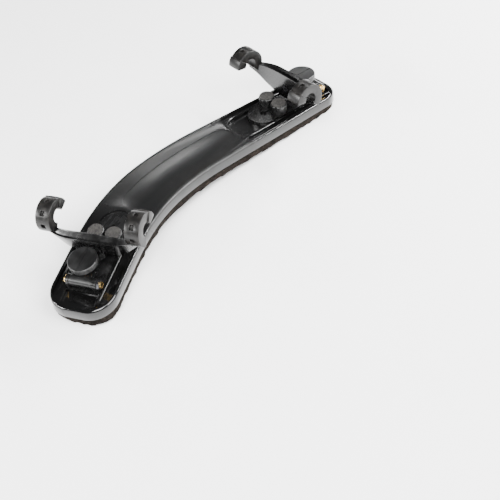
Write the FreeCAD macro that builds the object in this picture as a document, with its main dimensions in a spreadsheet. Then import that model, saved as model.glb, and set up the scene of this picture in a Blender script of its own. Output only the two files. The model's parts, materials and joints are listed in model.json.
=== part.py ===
import FreeCAD, Part
import math
import os
import re

# Violin shoulder rest: a curved, arched body with a foam pad under it and, at each end, a
# slider that carries a rubber-shod fork.  Millimetres, +X along the body towards its narrow
# end, +Y towards the outside of the bend, +Z up.  Each end is drawn once in its own frame:
# x runs outwards along the channel, z is square to the deck and z = 0 is the channel floor.

doc = FreeCAD.newDocument("ShoulderRest")
Vector = FreeCAD.Vector
Rotation = FreeCAD.Rotation
Placement = FreeCAD.Placement

# ---------------------------------------------------------------- driving dimensions
sheet = doc.addObject("Spreadsheet::Sheet", "Sizes")
sizes = {
    # body, plan
    "left_leg": 125.0,
    "right_leg": 198.0,
    "bend_half_angle": 14.7,
    "bend_radius": 262.0,
    "width_left": 55.0,
    "width_mid": 54.5,
    "width_right": 43.0,
    "corner_left": 20.0,
    "corner_right": 16.0,
    # body, side
    "slope_left": 8.6,
    "slope_right": 5.0,
    "arch_radius": 300.0,
    "arch_shift": -10.0,
    "deck_thick": 5.8,
    "skirt_drop": 3.0,
    "skirt_wall": 3.0,
    "edge_round": 2.2,
    # foam pad
    "foam_height": 9.0,
    "foam_inset": 0.7,
    "foam_flat": 1.5,
    "pad_fit": 0.1,
    # deck details
    "rim_width": 3.2,
    "bead_width": 2.8,
    "panel_depth": 0.45,
    "trough_depth": 2.8,
    "label_half": 11.0,
    "label_start": 108.0,
    "label_end": 206.0,
    "label_depth": 0.9,
    "corner_share": 0.35,
    "round_share": 0.45,
    # channel
    "channel_depth": 3.2,
    "channel_half": 13.6,
    "channel_shift": 0.5,
    "tooth_depth": 0.6,
    "tooth_pitch": 1.6,
    "groove_high": 1.5,
    "groove_side": 1.0,
    "rail_wall": 1.2,
    "end_wall": 5.5,
    "reach_left": 94.0,
    "reach_right": 103.0,
    "trough_left": 64.0,
    "trough_right": 96.0,
    "hole_left": 76.0,
    "hole_right": 68.0,
    # slider
    "slide_gap": 0.2,
    "side_gap": 0.4,
    "plate_thick": 1.1,
    "plate_lap": 1.5,
    "head_high": 3.2,
    "leg_start": 2.0,
    "leg_reach": 23.0,
    "leg_gap": 0.3,
    "leg_plain": 4.0,
    "slit_half": 1.1,
    "slit_reach": 7.0,
    "hole_radius": 2.6,
    "post_along": 11.0,
    "post_gap": 0.8,
    "post_high": 8.6,
    "post_neck": 5.2,
    "post_round": 0.8,
    "cap_thick": 1.2,
    "cap_inset": 0.7,
    "cap_round": 0.5,
    # hinge at the slider's outer end
    "pivot_along": 54.0,
    "pivot_high": 7.6,
    "pivot_radius": 2.5,
    "run_gap": 0.05,
    "cheek_gap": 0.9,
    "cheek_thick": 2.4,
    "cheek_radius": 4.6,
    "cheek_foot": 16.0,
    "cheek_crown": 3.7,
    "barrel_radius": 4.4,
    "part_gap": 0.3,
    "screw_head_radius": 3.6,
    "screw_head_thick": 1.8,
    "screw_dome": 0.8,
    "screw_tail": 1.0,
    "slot_width": 1.0,
    "slot_depth": 0.9,
    "nut_across": 7.0,
    "nut_thick": 2.4,
    # lever and height screw
    "stem_along": 44.0,
    "stem_radius": 2.5,
    "stem_point": 0.7,
    "boss_radius": 6.0,
    "boss_proud": 0.5,
    "insert_radius": 3.8,
    "lever_low": 6.8,
    "lever_high": 12.6,
    "lever_half": 8.0,
    "waist_radius": 7.0,
    "waist_bite": 2.6,
    "waist_along": 34.9,
    "flange_thick": 2.2,
    "flange_half": 6.0,
    "flange_top": 20.0,
    "disc_radius": 11.6,
    "disc_thick": 5.0,
    "disc_low": 17.7,
    "disc_round": 0.9,
    "disc_skin": 1.5,
    "disc_bore_gap": 0.15,
    "grip_radius": 1.1,
    "grip_out": 0.9,
    "line_width": 0.8,
    "line_depth": 0.5,
    # fork
    "fork_along": 27.0,
    "fork_thick": 3.6,
    "fork_half": 31.0,
    "fork_top": 29.0,
    "fork_low": 6.4,
    "fork_end_top": 27.0,
    "fork_end_low": 21.5,
    "rib_deep": 3.0,
    "rib_half": 23.0,
    "rib_drop": 1.4,
    "tab_thick": 6.0,
    "tab_high": 4.5,
    "tab_lap": 3.0,
    "hook_side": 37.5,
    "hook_wide": 12.0,
    "hook_outer": 13.0,
    "hook_inner": 5.6,
    "hook_back": 12.0,
    "hook_rise": 6.0,
    "hook_drop": 2.5,
    "core_half": 3.4,
    "core_inner": 8.0,
    "core_outer": 10.6,
    "core_start": 40.0,
    "core_sweep": 200.0,
    "sleeve_start": 50.0,
    "sleeve_sweep": 235.0,
    "sleeve_round": 1.8,
    "window_side": 3.6,
    "window_bed": 0.2,
    "fork_screw_high": 15.5,
    "fork_screw_radius": 1.5,
    "fork_screw_head": 3.0,
    "head_gap": 0.4,
    "head_sink": 1.4,
    "head_thick": 1.2,
    # how far cutting tools reach past the work, and how far joined shapes lap
    "beyond": 100.0,
    "lap": 1.0,
}
GRIPS = 24                  # scallops round the thumb disc
WINDOWS = (5, 55, 105)      # angles of the square windows in a hook sleeve, in degrees
PROUD = 2.0                 # a recess is cut from this far above the deck
SPAN = 400.0                # longer and wider than the whole body
TOUCH = 0.01                # two heights closer than this are the same
# what follows the channel's width: the cheeks stand inside the rails, the posts just reach over them
CHEEK_INNER = "( channel_half - cheek_gap - cheek_thick )"
POST_RADIUS = "( channel_half / 2 )"
POST_SIDE = "( channel_half / 2 + post_gap )"
for row, (alias, number) in enumerate(sizes.items(), start=1):
    sheet.set("A%d" % row, alias)
    sheet.set("B%d" % row, str(number))
    sheet.setAlias("B%d" % row, alias)
doc.recompute()


def size(alias):
    """A driving dimension, read back from the sheet."""
    return float(sheet.get(alias))


def bind(obj, prop, formula):
    """Tie a property to the sheet; names in the formula are the sheet's aliases."""
    tied = re.sub(r"[a-z_]+", lambda word: "Sizes." * (word[0] in sizes) + word[0], formula)
    obj.setExpression(prop, tied)


# ---------------------------------------------------------------- plane geometry
HALF = math.radians(size("bend_half_angle"))


def turn(point, angle):
    """A point turned about the origin."""
    cos, sin = math.cos(angle), math.sin(angle)
    return (point[0] * cos - point[1] * sin, point[0] * sin + point[1] * cos)


def rounded(corners, radii):
    """Straight runs joined by tangent arcs: a closed outline as Part geometry."""
    edges = []
    starts, ends, arcs = [], [], []
    count = len(corners)
    for i, radius in enumerate(radii):
        here = Vector(*corners[i], 0)
        back = (Vector(*corners[i - 1], 0) - here).normalize()
        ahead = (Vector(*corners[(i + 1) % count], 0) - here).normalize()
        half = back.getAngle(ahead) / 2
        run = radius / math.tan(half)
        middle = (back + ahead).normalize() * (radius / math.sin(half) - radius)
        starts.append(here + back * run)
        ends.append(here + ahead * run)
        arcs.append(here + middle)
    for i in range(count):
        edges.append(Part.Arc(starts[i], arcs[i], ends[i]))
        following = starts[(i + 1) % count]
        if (following - ends[i]).Length > 1e-4:
            edges.append(Part.LineSegment(ends[i], following))
    return edges


def centreline(along):
    """Point and heading of the body's centreline, at a distance from its left end."""
    tangent = size("bend_radius") * math.tan(HALF)
    straight = size("left_leg") - tangent
    arc = 2 * HALF * size("bend_radius")
    if along < straight:
        back = along - size("left_leg")
        return turn((back, 0), HALF), HALF
    if along > straight + arc:
        ahead = along - straight - arc + tangent
        return turn((ahead, 0), -HALF), -HALF
    angle = HALF - (along - straight) / size("bend_radius")
    drop = size("bend_radius") / math.cos(HALF)
    return (size("bend_radius") * math.sin(-angle), size("bend_radius") * math.cos(angle) - drop), angle


def body_outline(inset):
    """The body's plan outline, drawn in by an inset all round."""
    left, mid, right = [size(name) / 2 - inset for name in ("width_left", "width_mid", "width_right")]
    end_left = -size("left_leg") + inset
    end_right = size("right_leg") - inset
    corners = [
        turn((end_left, -left), HALF),
        (0, -mid / math.cos(HALF)),
        turn((end_right, -right), -HALF),
        turn((end_right, right), -HALF),
        (0, mid / math.cos(HALF)),
        turn((end_left, left), HALF),
    ]
    bend = size("bend_radius")
    radii = [size("corner_left") - inset, bend - mid, size("corner_right") - inset,
             size("corner_right") - inset, bend + mid, size("corner_left") - inset]
    return rounded(corners, radii)


def arch_band(top, bottom):
    """Side profile of a layer of the arch, between two depths below the deck."""
    rise_left = math.radians(size("slope_left"))
    fall_right = math.radians(size("slope_right"))
    half = (rise_left + fall_right) / 2
    lean = (rise_left - fall_right) / 2
    layer = []
    for depth in (top, bottom):
        radius = size("arch_radius") - depth
        centre = Vector(size("arch_shift"), -size("arch_radius") / math.cos(half), 0)
        at = [centre + Vector(radius * math.sin(angle), radius * math.cos(angle), 0)
              for angle in (-rise_left, (fall_right - rise_left) / 2, fall_right)]
        far_left = at[0] - Vector(math.cos(rise_left), math.sin(rise_left), 0) * SPAN
        far_right = at[2] + Vector(math.cos(fall_right), -math.sin(fall_right), 0) * SPAN
        layer.append((far_left, at[0], at[1], at[2], far_right))
    (a, b, c, d, e), (f, g, m, n, p) = layer
    return [Part.LineSegment(a, b), Part.Arc(b, c, d), Part.LineSegment(d, e), Part.LineSegment(e, p),
            Part.LineSegment(p, n), Part.Arc(n, m, g), Part.LineSegment(g, f), Part.LineSegment(f, a)]


def deck_point(fall):
    """Where the arch's curve meets one of its straight slopes, and that slope's normal."""
    mean = math.radians(size("slope_left") + size("slope_right")) / 2
    normal = Vector(math.sin(fall), 0, math.cos(fall))
    centre = Vector(size("arch_shift"), 0, -size("arch_radius") / math.cos(mean))
    return centre + normal * size("arch_radius"), normal


def deck_height(x):
    """Height of the deck's top surface above the plan plane."""
    for fall in (-math.radians(size("slope_left")), math.radians(size("slope_right"))):
        start, normal = deck_point(fall)
        if (x - start.x) * fall > 0:
            return start.z - (x - start.x) * math.tan(fall)
    lift = start.z - math.cos(fall) * size("arch_radius")
    return lift + math.sqrt(size("arch_radius") ** 2 - (x - size("arch_shift")) ** 2)


def end_frame(side):
    """Placement of an end's own frame: its origin is the slider's hole, on the channel floor."""
    if side == "right":
        heading = -HALF
        plan = turn((size("right_leg") - size("hole_right"), size("channel_shift")), -HALF)
        fall = math.radians(size("slope_right"))
    else:
        heading = math.pi + HALF
        plan = turn((size("hole_left") - size("left_leg"), size("channel_shift")), HALF)
        fall = -math.radians(size("slope_left"))
    normal = deck_point(fall)[1]
    along = Vector(math.cos(heading), math.sin(heading), -math.tan(fall) * math.cos(heading)).normalize()
    deck = Vector(plan[0], plan[1], deck_height(plan[0]))
    floor = deck - normal * size("channel_depth")
    return Placement(floor, Rotation(along, normal.cross(along), normal, "ZXY"))


# ---------------------------------------------------------------- small building blocks
TURNS = {
    "z": Rotation(),
    "y": Rotation(Vector(1, 0, 0), -90),
    "x": Rotation(Vector(0, 1, 0), 90),
}


def place(obj, x, y, z):
    """Tie an object's position to the sheet."""
    bind(obj, "Placement.Base.x", x)
    bind(obj, "Placement.Base.y", y)
    bind(obj, "Placement.Base.z", z)


def box(name, x, y, z, length, width, height):
    """A block from its low corner and its three sizes."""
    obj = doc.addObject("Part::Box", name)
    bind(obj, "Length", length)
    bind(obj, "Width", width)
    bind(obj, "Height", height)
    place(obj, x, y, z)
    return obj


def rod(name, axis, radius, length, x, y, z):
    """A cylinder that starts at a point and runs along an axis."""
    obj = doc.addObject("Part::Cylinder", name)
    obj.Placement = Placement(Vector(), TURNS[axis])
    bind(obj, "Radius", radius)
    bind(obj, "Height", length)
    place(obj, x, y, z)
    return obj


def prism(name, outlines, plane, low, length):
    """A padded sketch on one of the body's own origin planes."""
    body = doc.addObject("PartDesign::Body", name)
    origin = [item for item in body.Origin.OriginFeatures if item.Role == plane][0]
    sketch = body.newObject("Sketcher::SketchObject", name + "_sketch")
    sketch.AttachmentSupport = [(origin, "")]
    sketch.MapMode = "FlatFace"
    bind(sketch, "AttachmentOffset.Base.z", low)
    for outline in outlines:
        sketch.addGeometry(outline, False)
    pad = body.newObject("PartDesign::Pad", name + "_pad")
    pad.Profile = sketch
    bind(pad, "Length", length)
    return body


def fuse(name, *pieces):
    """Several solids joined into one."""
    obj = doc.addObject("Part::MultiFuse", name)
    obj.Shapes = list(pieces)
    return obj


def common(name, first, second):
    """What two solids share."""
    obj = doc.addObject("Part::Common", name)
    obj.Base = first
    obj.Tool = second
    return obj


def cut(name, base, *tools):
    """A solid less one or more tools."""
    obj = doc.addObject("Part::Cut", name)
    obj.Base = base
    obj.Tool = tools[0] if len(tools) == 1 else fuse(name + "_tools", *tools)
    return obj


def fillet(name, base, radius, chosen):
    """Round the edges of a solid for which chosen(edge) is true."""
    doc.recompute()
    obj = doc.addObject("Part::Fillet", name)
    obj.Base = base
    obj.Edges = [(i, radius, radius) for i, edge in enumerate(base.Shape.Edges, start=1) if chosen(edge)]
    return obj


nodes = {}


def node(name, obj, frame=None):
    """Name a finished sub-part and put it in its frame."""
    doc.recompute()
    obj.Label = name
    if frame is not None:
        obj.Placement = frame
    nodes[name] = obj


# ---------------------------------------------------------------- body shell and foam pad
def slab(name, outline, top, bottom):
    """A layer of the arched body, between two depths, inside a plan outline."""
    plan = prism(name + "_plan", [outline], "XY_Plane", "-1 * beyond", "2 * beyond")
    side = prism(name + "_side", [arch_band(top, bottom)], "XZ_Plane", "-1 * beyond", "2 * beyond")
    return common(name, plan, side)


def strip(start, end, half):
    """A round-ended strip that follows the centreline, as plan geometry."""
    tangent = size("bend_radius") * math.tan(HALF)
    joins = [size("left_leg") - tangent, size("left_leg") - tangent + 2 * HALF * size("bend_radius")]
    stops = sorted([start, end] + [join for join in joins if start < join < end])

    def side_point(along, across):
        point, heading = centreline(along)
        return Vector(point[0] - across * math.sin(heading), point[1] + across * math.cos(heading), 0)

    edges = []
    for across in (half, -half):
        for low, high in zip(stops, stops[1:]):
            a, b = side_point(low, across), side_point(high, across)
            middle = side_point((low + high) / 2, across)
            if abs(centreline(low + 0.01)[1] - centreline(high - 0.01)[1]) < 1e-6:
                edges.append(Part.LineSegment(a, b))
            else:
                edges.append(Part.Arc(a, middle, b))
    for along, away in ((start, -1), (end, 1)):
        point, heading = centreline(along)
        nose = Vector(point[0] + away * half * math.cos(heading), point[1] + away * half * math.sin(heading), 0)
        edges.append(Part.Arc(side_point(along, half), nose, side_point(along, -half)))
    return edges


def trough_outline(side, across):
    """The open trough between a channel rail and the rim, on one side of one end."""
    sign = 1 if side == "right" else -1
    reach = size("%s_leg" % side)
    length = size("trough_" + side)
    rail = size("channel_half") + size("tooth_depth") + size("groove_side") + size("rail_wall")
    inner = rail + across * size("channel_shift")
    start = reach - size("rim_width")
    taper = (size("width_mid") - size("width_" + side)) / 2 / reach

    def half_width(along):
        return size("width_" + side) / 2 + taper * (reach - along)

    near, far = start - length, start - size("corner_" + side) * size("corner_share")
    corners = [(near, inner), (far, inner), (far, half_width(far) - size("rim_width")),
               (near, half_width(near) - size("rim_width"))]
    radius = size("round_share") * (min(corners[2][1], corners[3][1]) - inner)
    wide = size("round_share") * (corners[3][1] - inner)
    placed = [turn((sign * x, across * y), -HALF if side == "right" else HALF) for x, y in corners]
    return rounded(placed, [wide, radius, radius, wide])


def channel_outline(side):
    """A channel seen from above: round inner end and a row of teeth along each rail."""
    tip = size("channel_half")
    root = tip + size("tooth_depth")
    pitch = size("tooth_pitch")
    bay = size("reach_" + side) - size("hole_" + side) - root
    stop = size("hole_" + side) - size("end_wall")
    count = int((stop + bay) / pitch)
    edges = [Part.Arc(Vector(-bay, root, 0), Vector(-bay - root, 0, 0), Vector(-bay, -root, 0))]
    for across in (1, -1):
        points = [Vector(-bay, across * root, 0)]
        for i in range(count):
            x = -bay + i * pitch
            points.append(Vector(x + pitch / 2, across * tip, 0))
            points.append(Vector(x + pitch, across * root, 0))
        points.append(Vector(stop, across * root, 0))
        for a, b in zip(points, points[1:]):
            if (b - a).Length > 1e-3:
                edges.append(Part.LineSegment(a, b))
    edges.append(Part.LineSegment(Vector(stop, root, 0), Vector(stop, -root, 0)))
    return edges


def shell_tools():
    """Everything that is cut out of the moulded shell."""
    depth = size("deck_thick") + size("skirt_drop") + PROUD
    tools = [slab("hollow", body_outline(size("skirt_wall")), size("deck_thick"), depth)]
    tools.append(slab("panel", body_outline(size("bead_width")), -PROUD, size("panel_depth")))
    recess = strip(size("label_start"), size("label_end"), size("label_half"))
    tools.append(slab("label", recess, -PROUD, size("label_depth")))
    for side in ("left", "right"):
        frame = end_frame(side)
        for across, word in ((1, "outer"), (-1, "inner")):
            outline = trough_outline(side, across)
            tools.append(slab("%s_%s_trough" % (side, word), outline, -PROUD, size("trough_depth")))
        channel = prism(side + "_channel", [channel_outline(side)], "XY_Plane", "0", "beyond")
        channel.Placement = frame
        half = size("channel_half") + size("tooth_depth") + size("groove_side")
        bay = size("reach_" + side) - size("hole_" + side) - size("channel_half") - size("tooth_depth")
        groove = doc.addObject("Part::Box", side + "_groove")
        bind(groove, "Length", "reach_%s - end_wall - channel_half - tooth_depth" % side)
        bind(groove, "Width", "2 * ( channel_half + tooth_depth + groove_side )")
        bind(groove, "Height", "groove_high")
        groove.Placement = frame * Placement(Vector(-bay, -half, 0), Rotation())
        tools += [channel, groove]
    return tools


def make_shell():
    """The moulded shell: an arched slab with a rounded rim, cut by its recesses."""
    block = slab("shell_block", body_outline(0), 0, size("deck_thick") + size("skirt_drop"))

    def on_rim(edge):
        middle = edge.valueAt((edge.FirstParameter + edge.LastParameter) / 2)
        if abs(middle.z - deck_height(middle.x)) > TOUCH:
            return False
        sides = block.Shape.ancestorsOfType(edge, Part.Face)
        flat = [abs(face.normalAt(*face.Surface.parameter(middle)).z) for face in sides]
        return min(flat) < 0.5

    rim = fillet("shell_rim", block, size("edge_round"), on_rim)
    node("body_shell", cut("shell", rim, *shell_tools()))


def make_pad():
    """The foam pad: it fills the shell from below and stands on two flattened ends."""
    depth = size("deck_thick") + size("skirt_drop")
    plug = slab("pad_plug", body_outline(size("skirt_wall") + size("pad_fit")), size("deck_thick"), depth)
    outline = body_outline(size("foam_inset"))
    body = slab("pad_body", outline, depth, depth + size("foam_height"))
    pad = fuse("pad_block", plug, body)
    doc.recompute()
    solid = pad.Shape
    halves = [Part.makeBox(SPAN, SPAN, SPAN, Vector(x, -SPAN / 2, -SPAN / 2)) for x in (-SPAN, 0)]
    floor = max(solid.common(half).BoundBox.ZMin for half in halves) + size("foam_flat")
    ground = doc.addObject("Part::Box", "ground")
    ground.Length, ground.Width, ground.Height = 2 * SPAN, SPAN, SPAN
    ground.Placement.Base = Vector(-SPAN, -SPAN / 2, floor - SPAN)
    node("foam_pad", cut("pad", pad, ground))
    return floor


# ---------------------------------------------------------------- slider and its release legs
def make_slider(side, frame):
    """The slider: a plate that runs in the channel's grooves, a round head and two hinge cheeks."""
    p = side + "_slider_"
    wing = "( channel_half + tooth_depth + groove_side - slide_gap )"
    plate = box(p + "plate", "leg_start - plate_lap", "-1 * " + wing, "slide_gap",
                "pivot_along + cheek_radius - leg_start + plate_lap", "2 * " + wing, "plate_thick")
    disc = rod(p + "disc", "z", "channel_half - side_gap", "head_high - slide_gap", "0", "0", "slide_gap")
    trim = box(p + "trim", "-1 * channel_half", "-1 * channel_half", "0",
               "channel_half + leg_start", "2 * channel_half", "beyond")
    head = common(p + "head", disc, trim)
    cheeks = []
    top = size("pivot_high") + size("cheek_crown")
    low = size("slide_gap") + size("plate_thick") / 2
    tip = size("pivot_along") - size("cheek_foot")
    reach = size("pivot_along") + size("cheek_radius")
    points = [(tip, low), (reach, low), (reach, size("pivot_high")), (size("pivot_along"), top)]
    for across, word in ((1, "a"), (-1, "b")):
        edges = [Part.LineSegment(Vector(*a, 0), Vector(*b, 0))
                 for a, b in zip(points, points[1:] + points[:1])]
        start = "-1 * ( %s + cheek_thick )" % CHEEK_INNER if across > 0 else CHEEK_INNER
        gusset = prism(p + "gusset_" + word, [edges], "XZ_Plane", start, "cheek_thick")
        begin = CHEEK_INNER if across > 0 else "-1 * ( %s + cheek_thick )" % CHEEK_INNER
        eye = rod(p + "eye_" + word, "y", "cheek_radius", "cheek_thick", "pivot_along", begin, "pivot_high")
        cheeks += [gusset, eye]
    hole = rod(p + "hole", "z", "hole_radius", "2 * beyond", "0", "0", "-1 * beyond")
    slit = box(p + "slit", "0", "-1 * slit_half", "slide_gap + plate_thick",
               "slit_reach", "2 * slit_half", "beyond")
    bore = rod(p + "bore", "y", "pivot_radius", "2 * beyond", "pivot_along", "-1 * beyond", "pivot_high")
    solid = fuse(p + "solid", plate, head, *cheeks)
    node(side + "_slider", cut(p + "body", solid, hole, slit, bore), frame)


def leg_outline(across):
    """A release leg from above, with the teeth that face the rail."""
    tip = size("channel_half") - size("part_gap")
    root = tip - size("tooth_depth")
    start = size("leg_start") + size("leg_gap")
    stop = size("leg_reach")
    pitch = size("tooth_pitch")
    bevel = size("tooth_depth")
    count = int((stop - start - size("leg_plain")) / pitch)
    points = [(start, size("slit_half")), (start, root)]
    first = stop - bevel - count * pitch
    for i in range(count):
        points += [(first + i * pitch, root), (first + (i + 0.5) * pitch, tip)]
    points += [(stop - bevel, root), (stop, root - bevel), (stop, size("slit_half"))]
    corners = [Vector(x, across * y, 0) for x, y in points]
    return [Part.LineSegment(a, b) for a, b in zip(corners, corners[1:] + corners[:1])]


def make_legs(side, frame):
    """Two sprung legs with finger posts; pinching the posts draws the teeth off the rails."""
    for across, word in ((1, "a"), (-1, "b")):
        p = "%s_leg_%s_" % (side, word)
        low = "slide_gap + plate_thick + slide_gap"
        arm = prism(p + "arm", [leg_outline(across)], "XY_Plane", low, "head_high - ( %s )" % low)
        side_of_post = POST_SIDE if across > 0 else "-1 * " + POST_SIDE
        post = rod(p + "post", "z", POST_RADIUS, "post_high - part_gap", "post_along", side_of_post,
                   "head_high + part_gap")
        neck = rod(p + "neck", "z", "post_neck", "part_gap + 2 * lap", "post_along", side_of_post,
                   "head_high - lap")
        shoulder = fillet(p + "round", post, size("post_round"), lambda edge: edge.BoundBox.ZLength < TOUCH)
        node("%s_release_leg_%s" % (side, word), fuse(p + "solid", arm, shoulder, neck), frame)
        cap = rod(p + "cap", "z", POST_RADIUS + " - cap_inset", "cap_thick", "post_along", side_of_post,
                  "head_high + post_high")
        soft = fillet(p + "soft", cap, size("cap_round"),
                      lambda edge: edge.BoundBox.ZMin > size("head_high") + size("post_high") + TOUCH)
        node("%s_post_cap_%s" % (side, word), soft, frame)


# ---------------------------------------------------------------- hinge, lever and height screw
def make_hinge(side, frame):
    """The crosswise hinge screw and its nut."""
    p = side + "_hinge_"
    span = "( %s + cheek_thick )" % CHEEK_INNER
    shank = rod(p + "shank", "y", "pivot_radius", "2 * %s + nut_thick + screw_tail" % span,
                "pivot_along", "-1 * " + span, "pivot_high")
    head = rod(p + "head", "y", "screw_head_radius", "screw_head_thick",
               "pivot_along", "-1 * %s - screw_head_thick" % span, "pivot_high")
    domed = fillet(p + "dome", head, size("screw_dome"),
                   lambda edge: edge.BoundBox.YMax < head.Shape.BoundBox.YMin + TOUCH)
    slot = box(p + "slot", "pivot_along - slot_width / 2",
               "-1 * %s - screw_head_thick + slot_depth - beyond" % span, "pivot_high - beyond",
               "slot_width", "beyond", "2 * beyond")
    solid = fuse(p + "solid", shank, domed)
    node(side + "_hinge_screw", cut(p + "body", solid, slot), frame)
    nut = doc.addObject("Part::Prism", p + "nut")
    nut.Polygon = 6
    nut.Placement = Placement(Vector(), TURNS["y"])
    bind(nut, "Circumradius", "nut_across / sqrt(3)")
    bind(nut, "Height", "nut_thick")
    place(nut, "pivot_along", span, "pivot_high")
    bore = rod(p + "nut_bore", "y", "pivot_radius", "beyond", "pivot_along", span + " - lap", "pivot_high")
    node(side + "_hinge_nut", cut(p + "nut_body", nut, bore), frame)


def make_lever(side, frame):
    """The lever that turns on the hinge screw and holds the fork, with its brass insert."""
    p = side + "_lever_"
    half = "( %s - part_gap )" % CHEEK_INNER
    barrel = rod(p + "barrel", "y", "barrel_radius", "2 * " + half, "pivot_along", "-1 * " + half, "pivot_high")
    inner = "( fork_along + fork_thick / 2 )"
    arm = box(p + "arm", inner, "-1 * lever_half", "lever_low",
              "pivot_along - " + inner, "2 * lever_half", "lever_high - lever_low")
    flange = box(p + "flange", inner, "-1 * flange_half", "lever_low",
                 "flange_thick", "2 * flange_half", "flange_top - lever_low")
    boss = rod(p + "boss", "z", "boss_radius", "lever_high - lever_low + 2 * boss_proud", "stem_along", "0",
               "lever_low - boss_proud")
    solid = fuse(p + "solid", barrel, arm, flange, boss)
    bore = rod(p + "bore", "y", "pivot_radius + run_gap", "2 * beyond", "pivot_along", "-1 * beyond",
               "pivot_high")
    seat = rod(p + "seat", "z", "insert_radius", "2 * beyond", "stem_along", "0", "-1 * beyond")
    hole = rod(p + "hole", "x", "fork_screw_radius", "beyond", "0", "0", "fork_screw_high")
    waists = [rod(p + "waist_" + word, "z", "waist_radius", "2 * beyond", "waist_along",
                  sign + "( lever_half + waist_radius - waist_bite )", "-1 * beyond")
              for sign, word in (("", "a"), ("-1 * ", "b"))]
    node(side + "_lever", cut(p + "body", solid, bore, seat, hole, *waists), frame)
    bush = rod(p + "bush", "z", "insert_radius", "lever_high - lever_low + 2 * boss_proud", "stem_along", "0",
               "lever_low - boss_proud")
    thread = rod(p + "thread", "z", "stem_radius + run_gap", "2 * beyond", "stem_along", "0", "-1 * beyond")
    node(side + "_threaded_insert", cut(p + "insert", bush, thread), frame)


def make_height_screw(side, frame):
    """The brass height screw, and the round thumb disc on its top."""
    p = side + "_height_"
    tip = "( slide_gap + plate_thick + slide_gap )"
    stem = rod(p + "stem", "z", "stem_radius", "disc_low + disc_thick - disc_skin - disc_bore_gap - " + tip,
               "stem_along", "0", tip)
    point = fillet(p + "point", stem, size("stem_point"), lambda edge: edge.BoundBox.ZLength < TOUCH)
    node(side + "_height_screw", point, frame)
    disc = rod(p + "disc", "z", "disc_radius", "disc_thick", "stem_along", "0", "disc_low")
    eased = fillet(p + "eased", disc, size("disc_round"), lambda edge: edge.BoundBox.ZLength < TOUCH)
    bore = rod(p + "bore", "z", "stem_radius + disc_bore_gap", "disc_thick - disc_skin", "stem_along", "0",
               "disc_low")
    line = box(p + "line", "stem_along - disc_radius", "-1 * line_width / 2",
               "disc_low + disc_thick - line_depth", "2 * disc_radius", "line_width", "beyond")
    grips = []
    for i in range(GRIPS):
        angle = 360.0 * i / GRIPS
        x = "stem_along + ( disc_radius + grip_out ) * cos(%.1f)" % angle
        y = "( disc_radius + grip_out ) * sin(%.1f)" % angle
        grips.append(rod("%sgrip_%d" % (p, i), "z", "grip_radius", "beyond", x, y, "0"))
    node(side + "_thumb_disc", cut(p + "knob", eased, bore, line, *grips), frame)


# ---------------------------------------------------------------- fork and rubber hooks
def arch_piece(name, inner, outer, half, start, sweep, across):
    """A curved bar round a hook's centre: it starts below the level by an angle and runs through a sweep."""
    profile = doc.addObject("PartDesign::Body", name)
    origin = [item for item in profile.Origin.OriginFeatures if item.Role == "XZ_Plane"][0]
    sketch = profile.newObject("Sketcher::SketchObject", name + "_sketch")
    sketch.AttachmentSupport = [(origin, "")]
    sketch.MapMode = "FlatFace"
    corners = [Vector(inner, -half, 0), Vector(outer, -half, 0), Vector(outer, half, 0), Vector(inner, half, 0)]
    for a, b in zip(corners, corners[1:] + corners[:1]):
        sketch.addGeometry(Part.LineSegment(a, b), False)
    spin = profile.newObject("PartDesign::Revolution", name + "_spin")
    spin.Profile = sketch
    spin.ReferenceAxis = (sketch, ["V_Axis"])
    bind(spin, "Angle", sweep)
    centre = Vector(size("fork_along") - size("hook_back"), across * size("hook_side"),
                    size("fork_end_top") - size("hook_drop") + size("hook_rise"))
    profile.Placement = Placement(centre, Rotation(Vector(1, 0, 0), 90) * Rotation(Vector(0, 0, 1), -start))
    return profile


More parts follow.
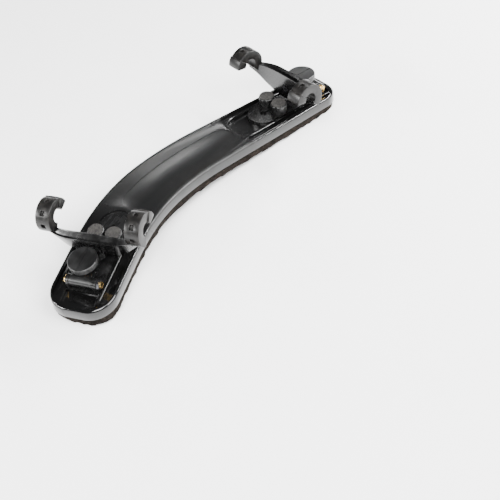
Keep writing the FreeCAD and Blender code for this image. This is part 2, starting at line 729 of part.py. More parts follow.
def make_fork(side, frame):
    """The crescent fork with its rib and hook cores, the two rubber sleeves, and its screw."""
    p = side + "_fork_"
    half, low, top = size("fork_half"), size("fork_low"), size("fork_top")
    end_top, end_low = size("fork_end_top"), size("fork_end_low")
    lens = [Part.Arc(Vector(-half, end_top, 0), Vector(0, top, 0), Vector(half, end_top, 0)),
            Part.LineSegment(Vector(half, end_top, 0), Vector(half, end_low, 0)),
            Part.Arc(Vector(half, end_low, 0), Vector(0, low, 0), Vector(-half, end_low, 0)),
            Part.LineSegment(Vector(-half, end_low, 0), Vector(-half, end_top, 0))]
    plate = prism(p + "plate", [lens], "YZ_Plane", "fork_along - fork_thick / 2", "fork_thick")
    deep = prism(p + "deep", [lens], "YZ_Plane", "fork_along", "fork_thick / 2 + rib_deep")
    ledge = box(p + "ledge", "fork_along - lap", "-1 * rib_half", "fork_end_top - rib_drop",
                "beyond", "2 * rib_half", "beyond")
    rib = common(p + "rib", deep, ledge)
    pieces, sleeves = [plate, rib], []
    for across, word in ((1, "a"), (-1, "b")):
        begin = "fork_half - tab_lap" if across > 0 else "-1 * hook_side - core_half"
        tab = box(p + "tab_" + word, "fork_along - tab_thick", begin, "fork_end_low",
                  "tab_thick", "hook_side + core_half - fork_half + tab_lap", "tab_high")
        core = arch_piece(p + "core_" + word, size("core_inner"), size("core_outer"), size("core_half"),
                          size("core_start"), "core_sweep", across)
        sleeve = arch_piece(p + "sleeve_" + word, size("hook_inner"), size("hook_outer"),
                            size("hook_wide") / 2, size("sleeve_start"), "sleeve_sweep", across)
        pieces += [tab, core]
        sleeves.append((word, sleeve, tab, core))
    solid = fuse(p + "solid", *pieces)
    face = "fork_along - fork_thick / 2"
    hole = rod(p + "hole", "x", "fork_screw_radius", "beyond", "0", "0", "fork_screw_high")
    sink = rod(p + "sink", "x", "fork_screw_head + head_gap", "beyond", face + " + head_sink - beyond", "0",
               "fork_screw_high")
    node(side + "_fork", cut(p + "body", solid, hole, sink), frame)
    for word, sleeve, tab, core in sleeves:
        soft = fillet(p + "soft_" + word, sleeve, size("sleeve_round"),
                      lambda edge: edge.Length > size("hook_inner"))
        windows = []
        for i, angle in enumerate(WINDOWS):
            window = doc.addObject("Part::Box", "%swindow_%s%d" % (p, word, i))
            bind(window, "Length", "hook_outer")
            bind(window, "Width", "window_side")
            bind(window, "Height", "window_side")
            half = size("window_side") / 2
            corner = Placement(Vector(size("core_outer") - size("window_bed"), -half, -half), Rotation())
            window.Placement = Placement(sleeve.Placement.Base, Rotation(Vector(0, 1, 0), -angle)) * corner
            windows.append(window)
        node("%s_hook_sleeve_%s" % (side, word), cut(p + "hook_" + word, soft, tab, core, *windows), frame)
    shank = rod(p + "screw_shank", "x", "fork_screw_radius", "fork_thick + flange_thick - lap",
                face + " + head_sink", "0", "fork_screw_high")
    head = rod(p + "screw_head", "x", "fork_screw_head", "head_thick", face + " + head_sink - head_thick", "0",
               "fork_screw_high")
    slot = box(p + "screw_slot", face + " + head_sink - head_thick + line_depth - beyond", "-1 * line_width / 2",
               "fork_screw_high - fork_screw_head", "beyond", "line_width", "2 * fork_screw_head")
    node(side + "_fork_screw", cut(p + "screw", fuse(p + "screw_solid", shank, head), slot), frame)


make_shell()
floor = make_pad()
for side in ("left", "right"):
    frame = end_frame(side)
    make_slider(side, frame)
    make_legs(side, frame)
    make_hinge(side, frame)
    make_lever(side, frame)
    make_height_screw(side, frame)
    make_fork(side, frame)
doc.recompute()

# ---------------------------------------------------------------- place the whole and write it out
bounds = FreeCAD.BoundBox()
for obj in nodes.values():
    bounds.add(obj.Shape.BoundBox)
shift = Vector(-bounds.Center.x, -bounds.Center.y, -floor)
for obj in doc.Objects:
    if "Invalid" in obj.State or "Error" in obj.State:
        raise RuntimeError("%s failed: %s" % (obj.Name, obj.State))
os.makedirs("parts", exist_ok=True)
for name, obj in nodes.items():
    obj.Placement = Placement(shift, Rotation()) * obj.Placement
    if obj.Shape.isNull() or not obj.Shape.isValid():
        raise RuntimeError(name + " has no valid shape")
    obj.Shape.exportStep("parts/%s.step" % name)
    print("%-26s %9.1f mm3 %s" % (name, obj.Shape.Volume, len(obj.Shape.Solids)))
bounds.move(shift)
print("overall", bounds)
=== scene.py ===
# %% [markdown]
# # A violin shoulder rest
# This lesson dresses an engineered model of a violin's shoulder rest.  The hard parts come from CAD
# with their exact sizes and joints, and everything that is soft, moulded or worn is made here.
# The first cell loads the CAD model, which is the fixed frame that all new pieces hang on.

# %% Load the frame
import json
import math

import bpy
from mathutils import Matrix, Vector


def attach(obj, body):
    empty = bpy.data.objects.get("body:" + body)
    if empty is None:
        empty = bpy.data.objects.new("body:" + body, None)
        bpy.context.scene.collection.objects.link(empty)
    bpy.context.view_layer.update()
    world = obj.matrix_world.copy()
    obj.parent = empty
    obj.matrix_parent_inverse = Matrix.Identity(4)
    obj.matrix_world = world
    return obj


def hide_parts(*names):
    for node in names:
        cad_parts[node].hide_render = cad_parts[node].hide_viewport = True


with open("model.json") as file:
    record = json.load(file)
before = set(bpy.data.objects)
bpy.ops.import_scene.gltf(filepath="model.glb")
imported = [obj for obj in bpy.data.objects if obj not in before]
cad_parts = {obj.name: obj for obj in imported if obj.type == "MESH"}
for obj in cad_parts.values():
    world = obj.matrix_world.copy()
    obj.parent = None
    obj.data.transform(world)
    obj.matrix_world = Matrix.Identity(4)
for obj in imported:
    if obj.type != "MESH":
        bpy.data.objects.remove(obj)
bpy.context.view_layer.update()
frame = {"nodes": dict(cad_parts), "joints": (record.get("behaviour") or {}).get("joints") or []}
nodes = frame["nodes"]
MM = 0.001

# %% [markdown]
# ## The camera
# A product picture of such a long, low object is taken from high on one side with a long lens,
# so that both ends keep their proportions.  The camera is placed by two angles round the object
# and a distance, then rolled a little, which is easier to reason about than three rotations.

# %% Place the camera
AIM = Vector((0, 0, 25 * MM))
CAMERA_DISTANCE = 894 * MM
heading, height, roll = math.radians(45.2), math.radians(41.2), math.radians(-11.8)
look = Vector((math.sin(heading) * math.cos(height), math.cos(heading) * math.cos(height), -math.sin(height)))
level = Vector((math.cos(heading), -math.sin(heading), 0))
upright = level.cross(look)
right = level * math.cos(roll) + upright * math.sin(roll)
up = upright * math.cos(roll) - level * math.sin(roll)
camera_data = bpy.data.cameras.new("studio_camera")
camera_data.lens = 80.5
camera_data.sensor_width = 36
camera_data.shift_x = 0.1156
camera_data.shift_y = -0.1579
camera = bpy.data.objects.new("studio_camera", camera_data)
bpy.context.scene.collection.objects.link(camera)
turned = Matrix((right, up, -look)).transposed().to_4x4()
camera.matrix_world = Matrix.Translation(AIM - look * CAMERA_DISTANCE) @ turned
bpy.context.scene.camera = camera
print("camera at", [round(v, 3) for v in camera.location])

# %% [markdown]
# ## Frames for the two ends
# Both ends carry the same mechanism, turned to follow the body.  Its joints already say where it
# is: the slide gives the direction along the channel, the fork's hinge gives the direction across
# it, and the thumb disc's axis gives the direction square to the deck.  Pieces are modelled once in
# that small frame and then copied to each end, so nothing has to be measured twice.

# %% Read the end frames from the joints
joints = {joint["name"]: joint for joint in frame["joints"]}
PIVOT_ALONG, PIVOT_HIGH = 54 * MM, 7.6 * MM


def end_frame(side):
    """Matrix from an end's own frame, in metres, to the model's frame."""
    along = Vector(joints[side + "_slide"]["axis"])
    across = Vector(joints[side + "_fork_tilt"]["axis"])
    square = -Vector(joints[side + "_disc_spin"]["axis"])
    pivot = Vector(joints[side + "_fork_tilt"]["pos_m"])
    origin = pivot - along * PIVOT_ALONG - square * PIVOT_HIGH
    return Matrix.Translation(origin) @ Matrix((along, across, square)).transposed().to_4x4()


ends = {side: end_frame(side) for side in ("left", "right")}
for side, matrix in ends.items():
    print(side, "hole at", [round(v / MM, 1) for v in matrix.translation])

# %% [markdown]
# ## Helpers for modelling
# Operators act on whatever is selected, so each helper starts from nothing selected.  Faces are
# then picked by where they are, which is what a hand does with a mouse.

# %% Modelling helpers


def start_clean():
    """Leave nothing selected and nothing in edit mode."""
    if bpy.context.mode != "OBJECT":
        bpy.ops.object.mode_set(mode="OBJECT")
    bpy.ops.object.select_all(action="DESELECT")


def focus(piece):
    """Make one piece the only selected and active object."""
    start_clean()
    piece.select_set(True)
    bpy.context.view_layer.objects.active = piece


def pick(piece, chosen):
    """In edit mode, select the faces for which chosen(centre, normal) is true."""
    bpy.ops.mesh.select_mode(type="FACE")
    bpy.ops.mesh.select_all(action="DESELECT")
    bpy.ops.object.mode_set(mode="OBJECT")
    for face in piece.data.polygons:
        face.select = bool(chosen(Vector(face.center), Vector(face.normal)))
    bpy.ops.object.mode_set(mode="EDIT")


def use(piece, kind, **settings):
    """Add a modifier to a piece, set it up and apply it."""
    focus(piece)
    modifier = piece.modifiers.new(kind.lower(), kind)
    for name, value in settings.items():
        setattr(modifier, name, value)
    bpy.ops.object.modifier_apply(modifier=modifier.name)


def tidy_mesh(piece, merge=0.01 * MM):
    """Merge doubled points and turn every face outwards."""
    focus(piece)
    bpy.ops.object.mode_set(mode="EDIT")
    bpy.ops.mesh.select_all(action="SELECT")
    bpy.ops.mesh.remove_doubles(threshold=merge)
    bpy.ops.mesh.normals_make_consistent(inside=False)
    bpy.ops.object.mode_set(mode="OBJECT")


def smooth(piece, degrees=35):
    """Smooth shading with sharp edges kept."""
    focus(piece)
    bpy.ops.object.shade_smooth_by_angle(angle=math.radians(degrees))


def copy_to(piece, name, matrix):
    """A copy with its own mesh, moved by a matrix, with its place in its mesh."""
    made = piece.copy()
    made.data = piece.data.copy()
    made.name = made.data.name = name
    bpy.context.scene.collection.objects.link(made)
    made.data.transform(matrix)
    made.matrix_world = Matrix.Identity(4)
    return made


def own_copy(part, name):
    """A free copy of a CAD part, without the frame's own marks on it."""
    made = copy_to(part, name, Matrix.Identity(4))
    made.parent = None
    for key in [key for key in made.keys() if key.startswith("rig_")]:
        del made[key]
    return made


def discard(piece):
    """Remove a piece that only served as a pattern."""
    bpy.data.objects.remove(piece)


print("helpers ready")

# %% [markdown]
# ## Shader maths as plain expressions
# A finish is easier to read as a formula than as a chain of nodes.  A Wire wraps one socket, and
# adding, multiplying or comparing wires adds the Math nodes behind the scenes.  A Finish holds one
# material and can add any other kind of node.

# %% Shader helpers


class Wire:
    """One shader value, with Python's operators as Math nodes."""

    def __init__(self, finish, socket):
        self.finish, self.socket = finish, socket

    def math(self, operation, *values):
        inputs = dict(enumerate(values))
        return self.finish.add("Math", {"operation": operation}, inputs)

    def __add__(self, other):
        return self.math("ADD", self, other)

    def __sub__(self, other):
        return self.math("SUBTRACT", self, other)

    def __rsub__(self, other):
        return self.math("SUBTRACT", other, self)

    def __mul__(self, other):
        return self.math("MULTIPLY", self, other)

    __radd__, __rmul__ = __add__, __mul__

    def between(self, low, high):
        """0 below low, 1 above high, and smooth in between."""
        settings = {"interpolation_type": "SMOOTHSTEP"}
        return self.finish.add("MapRange", settings, {"Value": self, "From Min": low, "From Max": high})


class Finish:
    """One material: a Principled surface and the nodes that feed it."""

    def __init__(self, name, **constants):
        self.material = bpy.data.materials.new(name)
        self.material.use_nodes = True
        self.tree = self.material.node_tree
        self.surface = self.tree.nodes["Principled BSDF"]
        for socket, value in constants.items():
            self.surface.inputs[socket.replace("_", " ")].default_value = value
        self.place = self.add("TexCoord", out="Object")

    def put(self, socket, value):
        if isinstance(value, Wire):
            self.tree.links.new(value.socket, socket)
        else:
            socket.default_value = value

    def add(self, kind, settings=None, inputs=None, out=0):
        """Any node: its type, its settings, then the values or wires of its sockets."""
        node = self.tree.nodes.new("ShaderNode" + kind)
        for name, value in (settings or {}).items():
            setattr(node, name, value)
        for name, value in (inputs or {}).items():
            self.put(node.inputs[name], value)
        return Wire(self, node.outputs[out])

    def noise(self, size_mm, stretch=(1, 1, 1), detail=3.0, shift=0.0):
        """Noise whose blobs are about size_mm across, longer along an axis where stretch is above 1."""
        scale = tuple(1 / (size_mm * MM * s) for s in stretch)
        moved = self.add("Mapping", None, {"Vector": self.place, "Scale": scale, "Location": (shift, shift, 0)})
        return self.add("TexNoise", None, {"Vector": moved, "Scale": 1.0, "Detail": detail}, out="Fac")

    def mix(self, mask, first, second):
        """A colour that goes from first to second as the mask goes from 0 to 1."""
        node = self.tree.nodes.new("ShaderNodeMix")
        node.data_type = "RGBA"
        sockets = [s for s in node.inputs if s.enabled]
        for socket, value in zip(sockets, (mask, first, second)):
            self.put(socket, value)
        return Wire(self, next(s for s in node.outputs if s.enabled))

    def feed(self, **wires):
        for socket, wire in wires.items():
            self.put(self.surface.inputs[socket.replace("_", " ")], wire)

    def relief(self, height, depth_mm, strength=1.0):
        """Bump of a given depth, into the surface's normal."""
        inputs = {"Height": height, "Distance": depth_mm * MM, "Strength": strength}
        self.feed(Normal=self.add("Bump", None, inputs))


def grey(level, warmth=0.0):
    """A near-neutral colour; warmth above zero leans it to brown."""
    return (level * (1 + warmth), level, level * (1 - warmth), 1)


print("shader helpers ready")

# %% [markdown]
# ## Moulded black plastic
# The body, sliders and levers are injection-moulded nylon.  New plastic is glossy where the mould
# was polished, at the channels, and satin on the middle of the deck, where the shell's colour is also
# painted paler in streaks as a painted sheen.  Three things make it real: a fine moulded grain, faint wipe
# marks along the body, and pale dust in small specks.

# %% Plastic finishes


def moulded(name, dark, pale, gloss, satin, grain_mm=0.45, grain_depth=0.02, dust=0.5, painted_middle_sheen=False):
    """A moulded plastic with grain, wipe marks and dust; gloss and satin are its two roughnesses."""
    finish = Finish(name, IOR=1.5, Specular_IOR_Level=0.5)
    clouds = finish.noise(16, detail=4).between(0.38, 0.68)
    wipes = finish.noise(2.2, (14, 1, 1), 5, 3.1).between(0.45, 0.75)
    grain = finish.noise(grain_mm, detail=2)
    specks = finish.noise(0.8, detail=2, shift=7.7).between(0.66, 0.74) * dust
    wear_and_sheen = clouds * 0.6 + wipes * 0.4
    # painted sheen: on the shell a band across the middle of the deck is painted paler, in streaks, and is also
    # made rougher, to satin
    if painted_middle_sheen:
        across = finish.add("SeparateXYZ", None, {0: finish.place}, out="X")
        middle = across.between(-0.092, -0.06) * (1 - across.between(0.045, 0.09))
        sheen_streaks = finish.noise(9, (9, 1, 1), 2, 6.4).between(0.2, 0.8)
        wear_and_sheen = wear_and_sheen * 0.1 + middle * (0.62 + sheen_streaks * 0.22)
    finish.feed(Base_Color=finish.mix(specks * 0.5 + wear_and_sheen * 0.5, grey(dark), grey(pale)),
                Roughness=wear_and_sheen * (satin - gloss) + gloss + specks * 0.15)
    finish.relief(grain + wipes * 0.1, grain_depth, 0.4)
    return finish.material


# the shell's deck gets the painted sheen, a paler band in its middle
shell_black = moulded("shell_black_plastic", 0.002, 0.009, 0.08, 0.38, painted_middle_sheen=True)
slider_black = moulded("slider_black_plastic", 0.003, 0.014, 0.2, 0.44, dust=0.9)
fork_black = moulded("fork_black_plastic", 0.002, 0.006, 0.16, 0.34, grain_mm=0.7, grain_depth=0.015)
disc_black = moulded("disc_black_plastic", 0.003, 0.013, 0.28, 0.48, grain_mm=0.3, grain_depth=0.02, dust=0.8)
print("plastics", shell_black.name, slider_black.name, fork_black.name, disc_black.name)

# %% [markdown]
# ## Rubber, dusty caps, brass and steel
# The hook sleeves are matt rubber with a slightly brown cast.  The tops of the finger posts are
# bare resin, greyed by handling, so they get coarse pale mottling.  Turned brass shows rings round
# its axis and a warm, uneven tarnish; the small steel screws are blackened.

# %% Rubber, cap and metal finishes


def rubber():
    """Matt rubber with a soft bloom and a pitted skin."""
    finish = Finish("hook_rubber", IOR=1.45, Specular_IOR_Level=0.4)
    bloom = finish.noise(5, detail=5).between(0.4, 0.72)
    pits = finish.noise(0.7, detail=3, shift=2.0)
    finish.feed(Base_Color=finish.mix(bloom, grey(0.003, 0.06), grey(0.009, 0.1)),
                Roughness=bloom * 0.1 + 0.34)
    finish.relief(pits + bloom * 0.25, 0.035, 0.5)
    return finish.material


def cap_resin():
    """Bare grey resin, mottled by handling."""
    finish = Finish("cap_grey_resin", IOR=1.48)
    mottle = finish.noise(1.3, detail=6).between(0.35, 0.65)
    grime = finish.noise(4.5, detail=3, shift=5.0).between(0.4, 0.7)
    finish.feed(Base_Color=finish.mix(mottle * 0.7 + grime * 0.3, grey(0.005, 0.05), grey(0.03, 0.1)),
                Roughness=0.85 - grime * 0.25)
    finish.relief(mottle, 0.08, 0.8)
    return finish.material


def turned_metal(name, clean, dull, low, high):
    """Metal with tarnish and fine tool marks; low and high are its two roughnesses."""
    finish = Finish(name, Metallic=1.0)
    tarnish = finish.noise(1.8, detail=5).between(0.42, 0.7)
    marks = finish.noise(0.25, (1, 8, 1), 2, 1.0)
    finish.feed(Base_Color=finish.mix(tarnish, clean, dull), Roughness=tarnish * (high - low) + low)
    finish.relief(marks, 0.012, 0.5)
    return finish.material


hook_rubber = rubber()
cap_grey = cap_resin()
brass = turned_metal("turned_brass", (0.83, 0.58, 0.23, 1), (0.42, 0.26, 0.09, 1), 0.16, 0.4)
black_steel = turned_metal("blackened_steel", (0.10, 0.10, 0.11, 1), (0.03, 0.03, 0.03, 1), 0.25, 0.5)
print("finishes", hook_rubber.name, cap_grey.name, brass.name, black_steel.name)

# %% [markdown]
# ## Foam
# The underside is a strip of dense open-cell foam.  Its cut faces are fuzzy: they scatter light, so
# the finish is fully rough, and its cells show as fine dark pores in a brown-grey.

# %% Foam finish


def foam_finish():
    """Brown-grey cut foam with pores and pale fibres."""
    finish = Finish("pad_brown_foam", Specular_IOR_Level=0.1, IOR=1.3)
    cells = finish.add("TexVoronoi", {"feature": "F1"}, {"Vector": finish.place, "Scale": 1 / (0.9 * MM)},
                       out="Distance")
    pores = 1 - cells.between(0.15, 0.55)
    fibre = finish.noise(1.1, detail=6, shift=4.0).between(0.52, 0.66)
    patches = finish.noise(9, detail=3).between(0.35, 0.7)
    brown = finish.mix(patches, (0.006, 0.005, 0.0042, 1), (0.015, 0.012, 0.01, 1))
    pale = finish.mix(fibre * 0.6, brown, (0.055, 0.045, 0.036, 1))
    finish.feed(Base_Color=finish.mix(pores * 0.75, pale, (0.002, 0.0018, 0.0015, 1)),
                Roughness=0.98 - fibre * 0.12)
    finish.relief(cells * 0.6 + fibre * 0.6 + patches * 0.3, 0.35, 0.9)
    return finish.material


pad_foam = foam_finish()
print("foam", pad_foam.name)

# %% [markdown]
# ## Dress the CAD parts
# Each CAD part keeps its mesh and gets a finish in its material slots.

# %% Give the CAD parts their finishes
FINISHES = {
    "body_shell": shell_black, "foam_pad": pad_foam, "slider": slider_black, "release_leg": slider_black,
    "post_cap": cap_grey, "hinge_screw": brass, "hinge_nut": black_steel, "lever": slider_black,
    "threaded_insert": brass, "height_screw": brass, "thumb_disc": disc_black, "fork_screw": black_steel,
    "fork": fork_black, "hook_sleeve": hook_rubber,
}


def finish_for(name):
    """The finish whose key is the longest one found in a part's name."""
    return FINISHES[max((key for key in FINISHES if key in name), key=len)]


for name, part in nodes.items():
    if not part.material_slots:
        part.data.materials.append(None)
    for slot in part.material_slots:
        slot.material = finish_for(name)
print("dressed", len(nodes), "parts")

# %% [markdown]
# ## The body shell
# A mould leaves no knife edges, and on black plastic it is the rounded edges that catch the light.
# The shell is copied from its CAD part, its flat faces are merged, and every sharp edge is rounded
# with a bevel.

# %% Round the shell's edges
shell = own_copy(nodes["body_shell"], "moulded_shell")
tidy_mesh(shell, 0.01 * MM)
focus(shell)
bpy.ops.object.mode_set(mode="EDIT")
bpy.ops.mesh.select_all(action="SELECT")
bpy.ops.mesh.dissolve_limited(angle_limit=math.radians(0.3))
bpy.ops.object.mode_set(mode="OBJECT")
use(shell, "BEVEL", width=0.35 * MM, segments=2, limit_method="ANGLE", angle_limit=math.radians(42),
    use_clamp_overlap=True, harden_normals=False)
smooth(shell, 35)
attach(shell, "base")
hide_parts("body_shell")
print("shell faces", len(shell.data.polygons))

# %% [markdown]
# ## The fork
# The fork is a moulded crescent: deep in the middle, where it is screwed to the lever, thin at its
# two arms, and stiffened by a lip along its top.  It could be cut from a block, but extruding one
# section outwards and squeezing it at each step gives the crescent directly, and a mirror gives the
# other half.  Bevel and subdivision then round it as moulding does.

# %% Model the fork
FORK_TOP = 29.4
SECTION = [(25.0, 29.4), (32.6, 29.4), (32.6, 25.6), (29.4, 24.4), (28.8, 9.0), (28.2, 5.8), (25.6, 5.8),
           (25.0, 9.0)]
# distance out, height of the section as a share, drop of the top, shift inwards; the lip's share is set in the
# loop
STEPS = [(6, 0.99, 0.1, 0.0), (12, 0.95, 0.3, 0.0), (17, 0.88, 0.6, 0.1), (21.5, 0.79, 0.95, 0.3),
         (25.5, 0.69, 1.35, 0.7), (29, 0.57, 1.7, 1.3), (32, 0.44, 2.1, 2.2), (35, 0.32, 2.6, 3.3),
         (38.5, 0.23, 3.2, 4.0), (41.2, 0.17, 3.9, 4.2)]


def section_plane(name):
    """The fork's middle section as one face, drawn from a circle with a point for each corner."""
    start_clean()
    bpy.ops.mesh.primitive_circle_add(vertices=len(SECTION), radius=10 * MM, fill_type="NGON",
                                      rotation=(math.radians(90), 0, 0))
    piece = bpy.context.object
    piece.name = piece.data.name = name
    bpy.ops.object.transform_apply(location=True, rotation=True, scale=True)
    middle = Vector((28.0 * MM, 0, 20 * MM))
    order = sorted(piece.data.vertices, key=lambda v: math.atan2(v.co.z, v.co.x))
    corners = sorted(SECTION, key=lambda c: math.atan2(c[1] * MM - middle.z, c[0] * MM - middle.x))
    for vertex, (x, z) in zip(order, corners):
        vertex.co = (x * MM, 0, z * MM)
    return piece


fork_half = section_plane("fork_half")
bpy.ops.object.mode_set(mode="EDIT")
bpy.ops.mesh.select_all(action="SELECT")
before = (0.0, 1.0, 0.0, 0.0)
for step in STEPS:
    out, share, drop, inward = step
    move = Vector((-(inward - before[3]), out - before[0], -(drop - before[2]))) * MM
    bpy.ops.mesh.extrude_region_move(TRANSFORM_OT_translate={"value": move})
    top = (FORK_TOP - drop) * MM
    ratio = share / before[1]
    bpy.ops.transform.resize(value=(1, 1, ratio), center_override=(0, out * MM, top))
    if out > 21:
        lip = 0.93 if out < 33 else 0.97
        bpy.ops.transform.resize(value=(lip, 1, 1), center_override=((25 - inward) * MM, out * MM, top))
    before = step
bpy.ops.object.mode_set(mode="OBJECT")
# the first face is inside once the halves are joined
bpy.ops.object.mode_set(mode="EDIT")
pick(fork_half, lambda centre, normal: abs(centre.y) < 0.01 * MM)
bpy.ops.mesh.delete(type="ONLY_FACE")
bpy.ops.object.mode_set(mode="OBJECT")
use(fork_half, "MIRROR", use_axis=(False, True, False), use_clip=True, merge_threshold=0.01 * MM)
tidy_mesh(fork_half)
use(fork_half, "BEVEL", width=0.55 * MM, segments=2, limit_method="ANGLE", angle_limit=math.radians(28))
use(fork_half, "SUBSURF", levels=2, render_levels=2)
print("fork faces", len(fork_half.data.polygons))

# %% [markdown]
# The screw that holds the fork sits in a round pocket in the middle of the blade.  A cylinder is
# subtracted for the pocket and a thinner one for the hole.

# %% Sink the fork's screw


def subtract_rod(piece, radius, start, end):
    """Cut a round hole along the end frame's own x axis."""
    start_clean()
    bpy.ops.mesh.primitive_cylinder_add(vertices=40, radius=radius, depth=end - start,
                                        location=((start + end) / 2, 0, 15.5 * MM),
                                        rotation=(0, math.radians(90), 0))
    rod = bpy.context.object
    use(piece, "BOOLEAN", operation="DIFFERENCE", solver="EXACT", object=rod)
    discard(rod)


subtract_rod(fork_half, 3.4 * MM, 20 * MM, 26.6 * MM)
subtract_rod(fork_half, 1.55 * MM, 20 * MM, 36 * MM)
tidy_mesh(fork_half)
smooth(fork_half, 40)
fork_half.data.materials.clear()
fork_half.data.materials.append(fork_black)
for side in ends:
    blade = copy_to(fork_half, side + "_fork_blade", ends[side])
    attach(blade, side + "_fork_arm")
    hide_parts(side + "_fork")
discard(fork_half)
print("fork blades made")

# %% [markdown]
# ## The hook sleeves
# Each arm of the fork ends in a hook that grips the violin's edge, and a rubber sleeve is pushed
# over it.  The sleeve is one rounded bar that turns about the hook's centre, which is just what Spin
# makes.  Its free end is a thicker foot, and three square windows show the core inside.

# %% Model one sleeve
HOOK_ALONG, HOOK_SIDE, HOOK_HIGH = 15.0, 37.5, 30.5
INNER, OUTER, WIDE = 5.6, 13.0, 12.0
SWEEP_START, SWEEP = -50.0, 225.0
SLICES = 45
WINDOWS = (5.0, 55.0, 105.0)


def hook_angle(point):
    """Angle of a point round the hook's centre, in degrees from the direction along the channel."""
    angle = math.degrees(math.atan2(point.z - HOOK_HIGH * MM, point.x - HOOK_ALONG * MM))
    return angle + 360 if angle < SWEEP_START - 10 else angle


def hook_radius(point):
    """Distance of a point from the hook's axis."""
    return math.hypot(point.z - HOOK_HIGH * MM, point.x - HOOK_ALONG * MM)


start_clean()
bpy.ops.mesh.primitive_grid_add(x_subdivisions=2, y_subdivisions=3, size=1 * MM)
sleeve = bpy.context.object
sleeve.name = "sleeve_pattern"
bpy.ops.object.mode_set(mode="EDIT")
bpy.ops.mesh.select_all(action="SELECT")
bpy.ops.transform.resize(value=(OUTER - INNER, WIDE, 1), center_override=(0, 0, 0))
bpy.ops.transform.translate(value=((INNER + OUTER) / 2 * MM, 0, 0))
bpy.ops.object.mode_set(mode="OBJECT")
sleeve.data.transform(Matrix.Rotation(math.radians(-SWEEP_START), 4, "Y"))
sleeve.data.transform(Matrix.Translation((HOOK_ALONG * MM, 0, HOOK_HIGH * MM)))
bpy.ops.object.mode_set(mode="EDIT")
bpy.ops.mesh.select_all(action="SELECT")
bpy.ops.mesh.spin(steps=SLICES, angle=math.radians(SWEEP), center=(HOOK_ALONG * MM, 0, HOOK_HIGH * MM),
                  axis=(0, 1, 0))
bpy.ops.object.mode_set(mode="OBJECT")
tidy_mesh(sleeve)
angles = [hook_angle(v.co) for v in sleeve.data.vertices]
print("sleeve runs from", round(min(angles)), "to", round(max(angles)), "degrees")

# %% [markdown]
# The foot is raised from the last part of the bar.  Then the windows are inset and pushed in, and a
# bevel rounds every edge, as rubber can't hold a sharp one.

# %% Raise the foot and open the windows
FOOT_FROM = 138.0
focus(sleeve)
bpy.ops.object.mode_set(mode="EDIT")
pick(sleeve, lambda c, n: hook_angle(c) > FOOT_FROM and hook_radius(c) > (INNER + 0.3) * MM)
bpy.ops.mesh.extrude_region_shrink_fatten(TRANSFORM_OT_shrink_fatten={"value": 0.9 * MM})
for window in WINDOWS:
    pick(sleeve, lambda c, n, w=window: abs(hook_angle(c) - w) < 7.6 and abs(c.y) < 1.5 * MM
         and hook_radius(c) > (OUTER - 0.4) * MM)
    bpy.ops.mesh.inset(thickness=0.25 * MM)
    bpy.ops.mesh.extrude_region_shrink_fatten(TRANSFORM_OT_shrink_fatten={"value": -2.2 * MM})
bpy.ops.object.mode_set(mode="OBJECT")
tidy_mesh(sleeve)
use(sleeve, "BEVEL", width=0.9 * MM, segments=3, limit_method="ANGLE", angle_limit=math.radians(50))
tidy_mesh(sleeve)
smooth(sleeve, 40)
sleeve.data.materials.append(hook_rubber)
for side in ends:
    for letter, sign in (("a", 1), ("b", -1)):
        place = ends[side] @ Matrix.Translation((0, sign * HOOK_SIDE * MM, 0))
        grip = copy_to(sleeve, "%s_hook_grip_%s" % (side, letter), place)
        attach(grip, side + "_fork_arm")
        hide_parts("%s_hook_sleeve_%s" % (side, letter))
discard(sleeve)
print("four sleeves made")

# %% [markdown]
# ## The brass height screw
# The thumb disc turns a brass screw, and its thread shows between the disc and the lever.  A plain
# rod would do from afar, but the thread catches the light.  The Screw modifier winds a small
# triangle round the rod, one turn for each 0.8 mm.

# %% Model the screw and its thread
STEM_ALONG, STEM_LOW, STEM_TOP, LEAD = 44.0, 1.5, 20.9, 0.8
CORE, CREST = 2.1, 2.48


def brass_screw():
    """A rod with chamfered ends and a thread wound round it, standing on the end frame's z axis."""
    start_clean()
    bpy.ops.mesh.primitive_cylinder_add(vertices=32, radius=CORE * MM, depth=(STEM_TOP - STEM_LOW) * MM,
                                        location=(0, 0, (STEM_TOP + STEM_LOW) / 2 * MM))
    rod = bpy.context.object
    bpy.ops.object.transform_apply(location=True)
    use(rod, "BEVEL", width=0.5 * MM, segments=2, limit_method="ANGLE", angle_limit=math.radians(40))
    turns = int((STEM_TOP - STEM_LOW - 2) / LEAD)
    bpy.ops.mesh.primitive_circle_add(vertices=3, radius=0.3 * MM, fill_type="NOTHING",
                                      rotation=(math.radians(90), 0, 0),
                                      location=(CORE * MM, 0, (STEM_LOW + 1) * MM))
    thread = bpy.context.object
    focus(thread)
    bpy.ops.object.transform_apply(location=True, rotation=True)
    profile = ((CORE - 0.25, -0.3), (CREST, 0.0), (CORE - 0.25, 0.3))
    for vertex, (x, z) in zip(thread.data.vertices, profile):
        vertex.co = (x * MM, 0, (STEM_LOW + 1 + z) * MM)
    use(thread, "SCREW", angle=2 * math.pi, screw_offset=LEAD * MM, iterations=turns, steps=24,
        render_steps=24, use_normal_calculate=True)
    bpy.ops.object.mode_set(mode="EDIT")
    bpy.ops.mesh.select_all(action="SELECT")
    bpy.ops.mesh.remove_doubles(threshold=0.005 * MM)
    bpy.ops.mesh.fill_holes(sides=3)
    bpy.ops.mesh.normals_make_consistent(inside=False)
    bpy.ops.object.mode_set(mode="OBJECT")
    focus(rod)
    thread.select_set(True)
    bpy.ops.object.join()
    return bpy.context.object


screw = brass_screw()
smooth(screw, 30)
screw.data.materials.clear()
screw.data.materials.append(brass)
for side in ends:
    stem = copy_to(screw, side + "_brass_screw", ends[side] @ Matrix.Translation((STEM_ALONG * MM, 0, 0)))
    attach(stem, side + "_screw")
    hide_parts(side + "_height_screw")
discard(screw)
print("brass screws made")

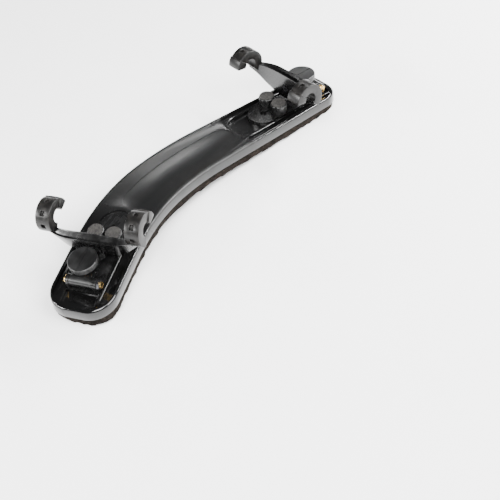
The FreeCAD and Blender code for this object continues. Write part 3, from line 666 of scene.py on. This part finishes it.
# %% [markdown]
# ## The foam pad
# The pad is cut from foam and pressed into the shell, so its lower edges bulge a little and its cut
# faces are not quite flat.  It starts as a copy of the CAD pad, is remeshed to even squares, and is
# blown up slightly as cloth with pressure inside.  No point may move further than a cap, so the pad
# keeps its size, and none may sink through the floor.

# %% Make the pad
VOXEL, CAP = 2.0 * MM, 0.8 * MM
PRESSURE, STIFFNESS, FRAMES = 4, 40, 20
pad = own_copy(nodes["foam_pad"], "soft_foam_pad")
tidy_mesh(pad, 0.02 * MM)
use(pad, "REMESH", mode="VOXEL", voxel_size=VOXEL, adaptivity=0)
print("pad squares", len(pad.data.polygons))


def swell(piece):
    """Blow the piece up as cloth, with each point's travel capped and none below the floor."""
    rest = [v.co.copy() for v in piece.data.vertices]
    focus(piece)
    cloth = piece.modifiers.new("cloth", "CLOTH")
    cloth.settings.use_pressure = True
    cloth.settings.uniform_pressure_force = PRESSURE
    cloth.settings.effector_weights.gravity = 0
    cloth.settings.tension_stiffness = cloth.settings.compression_stiffness = STIFFNESS
    for number in range(1, FRAMES + 1):
        bpy.context.scene.frame_set(number)
    bpy.ops.object.modifier_apply(modifier=cloth.name)
    bpy.context.scene.frame_set(1)
    moved = 0.0
    for vertex, start in zip(piece.data.vertices, rest):
        step = vertex.co - start
        if step.length > CAP:
            step *= CAP / step.length
        vertex.co = start + step
        vertex.co.z = max(vertex.co.z, 0.0)
        moved = max(moved, step.length)
    return moved


print("pad swells by up to", round(swell(pad) / MM, 2), "mm")
use(pad, "SUBSURF", levels=1, render_levels=1)
for vertex in pad.data.vertices:
    vertex.co.z = max(vertex.co.z, 0.0)
smooth(pad, 60)
pad.data.materials.clear()
pad.data.materials.append(pad_foam)
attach(pad, "base")
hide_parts("foam_pad")
print("pad faces", len(pad.data.polygons))

# %% [markdown]
# ## Floor and light
# Black plastic is seen by what it reflects: the pale floor greys its sides, and strips of light
# draw its edges.  Two wide softboxes light the floor, and three narrow ones draw the sheen on the
# deck and its rims.

# %% Floor, room and softboxes
start_clean()
bpy.ops.mesh.primitive_plane_add(size=6)
floor = bpy.context.object
floor.name = "studio_floor"
paper = Finish("studio_paper", Roughness=0.9)
paper.feed(Base_Color=paper.mix(paper.noise(60, detail=2), grey(0.9), grey(0.93)))
floor.data.materials.append(paper.material)

room = bpy.data.worlds.new("studio_room")
room.use_nodes = True
room.node_tree.nodes["Background"].inputs["Color"].default_value = (0.93, 0.95, 1.0, 1)
room.node_tree.nodes["Background"].inputs["Strength"].default_value = 0.12
bpy.context.scene.world = room


def softbox(name, direction, distance, size, power, shape=1.0):
    """A rectangular area light that looks at the object from a direction."""
    data = bpy.data.lights.new(name, "AREA")
    data.shape = "RECTANGLE"
    data.size, data.size_y, data.energy = size, size * shape, power
    light = bpy.data.objects.new(name, data)
    bpy.context.scene.collection.objects.link(light)
    towards = Vector(direction).normalized()
    light.location = AIM + towards * distance
    light.rotation_euler = towards.to_track_quat("Z", "Y").to_euler()
    return light


softbox("back_softbox", (0.66, 0.36, 0.62), 1.2, 0.34, 3.0, 0.16)
softbox("top_softbox", (-0.62, -0.35, 1), 1.6, 0.8, 60)
softbox("rim_strip", (0.95, -0.5, 0.65), 0.9, 0.9, 22, 0.05)
softbox("left_strip", (-0.9, 0.7, 0.5), 1.0, 0.6, 14, 0.1)
softbox("floor_wash", (0.1, -0.9, 1.0), 1.6, 1.0, 60)
